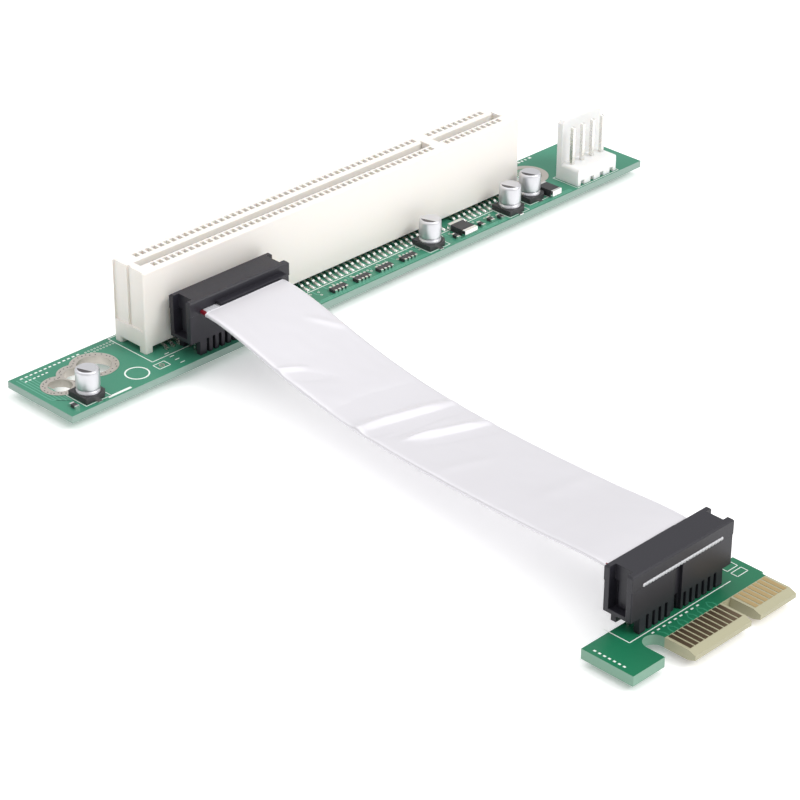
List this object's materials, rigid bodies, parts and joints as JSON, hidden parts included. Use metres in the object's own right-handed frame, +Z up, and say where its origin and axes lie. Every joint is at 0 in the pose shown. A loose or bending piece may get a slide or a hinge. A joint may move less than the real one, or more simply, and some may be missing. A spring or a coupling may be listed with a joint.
{
  "type": "pcie slot expander",
  "caption": "Riser for a server: an edge card and a foil-wrapped flat cable lead to a long board with a PCI card slot and a power header.",
  "frame": {"origin": "centre of the bounding box, at the bottom: the plane that the pin tails stand on", "axes": "+X along the card slot towards the power header, +Y from the edge card back to the slot, +Z up out of the slot's mouth"},
  "size_m": [0.13, 0.1206, 0.0166],
  "materials": {
    "board_green": "satin",
    "card_green": "satin",
    "tinned": "satin",
    "slot_ivory": "matte",
    "contact_tin": "satin",
    "connector_black": "matte",
    "pin_tin": "satin",
    "ribbon_grey": "matte",
    "foil": "satin",
    "gold": "satin",
    "can_metal": "satin",
    "base_black": "matte",
    "header_white": "matte",
    "chip_black": "matte"
  },
  "bodies": {
    "root": {"bridge_chip_body": "chip_black", "bridge_chip_leads": "tinned", "cable_foil": "foil", "capacitor_1_base": "base_black", "capacitor_1_can": "can_metal", "capacitor_1_leads": "tinned", "capacitor_2_base": "base_black", "capacitor_2_can": "can_metal", "capacitor_2_leads": "tinned", "capacitor_3_base": "base_black", "capacitor_3_can": "can_metal", "capacitor_3_leads": "tinned", "capacitor_4_base": "base_black", "capacitor_4_can": "can_metal", "capacitor_4_leads": "tinned", "chip_resistor_bodies": "chip_black", "chip_resistor_ends": "tinned", "diode_body": "chip_black", "diode_ends": "tinned", "edge_card_board": "card_green", "edge_fingers_bottom": "gold", "edge_fingers_top": "gold", "lobed_hole_plating": "tinned", "lower_connector_base": "connector_black", "lower_connector_cover": "connector_black", "lower_connector_pins": "pin_tin", "power_header_housing": "header_white", "power_header_pins": "pin_tin", "regulator_body": "chip_black", "regulator_ends": "tinned", "resistor_array_bodies": "chip_black", "resistor_array_ends": "tinned", "ribbon_cable": "ribbon_grey", "riser_board": "board_green", "round_hole_plating": "tinned", "slot_contacts_front": "contact_tin", "slot_contacts_rear": "contact_tin", "slot_housing": "slot_ivory", "upper_connector_base": "connector_black", "upper_connector_cover": "connector_black", "upper_connector_pins": "pin_tin"}
  },
  "joints": []
}
